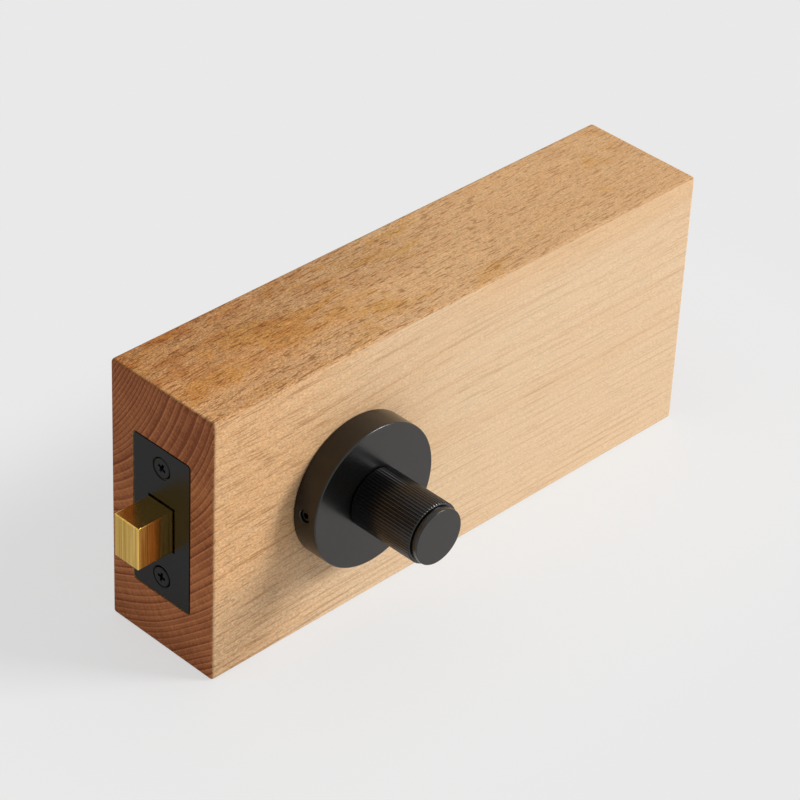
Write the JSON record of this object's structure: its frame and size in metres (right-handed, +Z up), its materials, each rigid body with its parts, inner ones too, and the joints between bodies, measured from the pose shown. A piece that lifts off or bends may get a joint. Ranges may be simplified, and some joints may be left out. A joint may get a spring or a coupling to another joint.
{
  "type": "privacy thumb turn with tubular bolt on sample block",
  "caption": "Knurled thumb turn on a round rose drives a square bolt through a follower in a beech sample block, with a coin release behind.",
  "frame": {"origin": "centre of the flat base that the sample block rests on", "axes": "-X out of the forend with the thrown bolt, -Y out of the knurled knob, +Z up"},
  "size_m": [0.2346, 0.0978, 0.1],
  "materials": {
    "beech": "sanded, lightly oiled beech",
    "black_metal": "satin black coating",
    "satin_brass": "satin brushed brass",
    "plated_steel": "bright zinc plating",
    "cast_zinc": "as cast, tumbled",
    "white_nylon": "moulded, matt"
  },
  "bodies": {
    "root": {"beech_block": "beech", "forend_face_plate": "black_metal", "forend_screw_upper": "black_metal", "forend_screw_lower": "black_metal", "front_rose_cover": "black_metal", "back_rose_cover": "black_metal", "front_grub_screw": "black_metal", "back_grub_screw": "black_metal", "forend_inner_plate": "plated_steel", "bolt_case_front_half": "plated_steel", "bolt_case_back_half": "plated_steel", "case_rivet_upper": "plated_steel", "case_rivet_lower": "plated_steel", "front_base_screw_upper": "plated_steel", "front_base_screw_lower": "plated_steel", "back_base_screw_upper": "plated_steel", "back_base_screw_lower": "plated_steel", "front_washer": "plated_steel", "back_washer": "plated_steel", "front_rose_base": "cast_zinc", "back_rose_base": "cast_zinc", "front_bush": "white_nylon", "back_bush": "white_nylon"},
    "thumb_turn": {"knob": "black_metal", "knob_end_cap": "black_metal", "release_turn": "black_metal", "spindle": "plated_steel", "follower": "cast_zinc", "front_circlip": "plated_steel", "back_circlip": "plated_steel"},
    "bolt": {"bolt_head": "satin_brass", "bolt_tail": "plated_steel", "bolt_tail_rivet": "plated_steel"}
  },
  "joints": [
    {"name": "thumb_turn_hinge", "type": "hinge", "parent": "root", "child": "thumb_turn", "pos_m": [-0.05, 0, 0.0495], "axis": [0, 1, 0], "range_deg": [0, 90]},
    {"name": "bolt_slide", "type": "slide", "parent": "root", "child": "bolt", "axis": [1, 0, 0], "range_m": [0, 0.0142]}
  ],
  "couplings": [
    {"joint": "thumb_turn_hinge", "follows": "bolt_slide", "rad_per_m": 110.62}
  ]
}
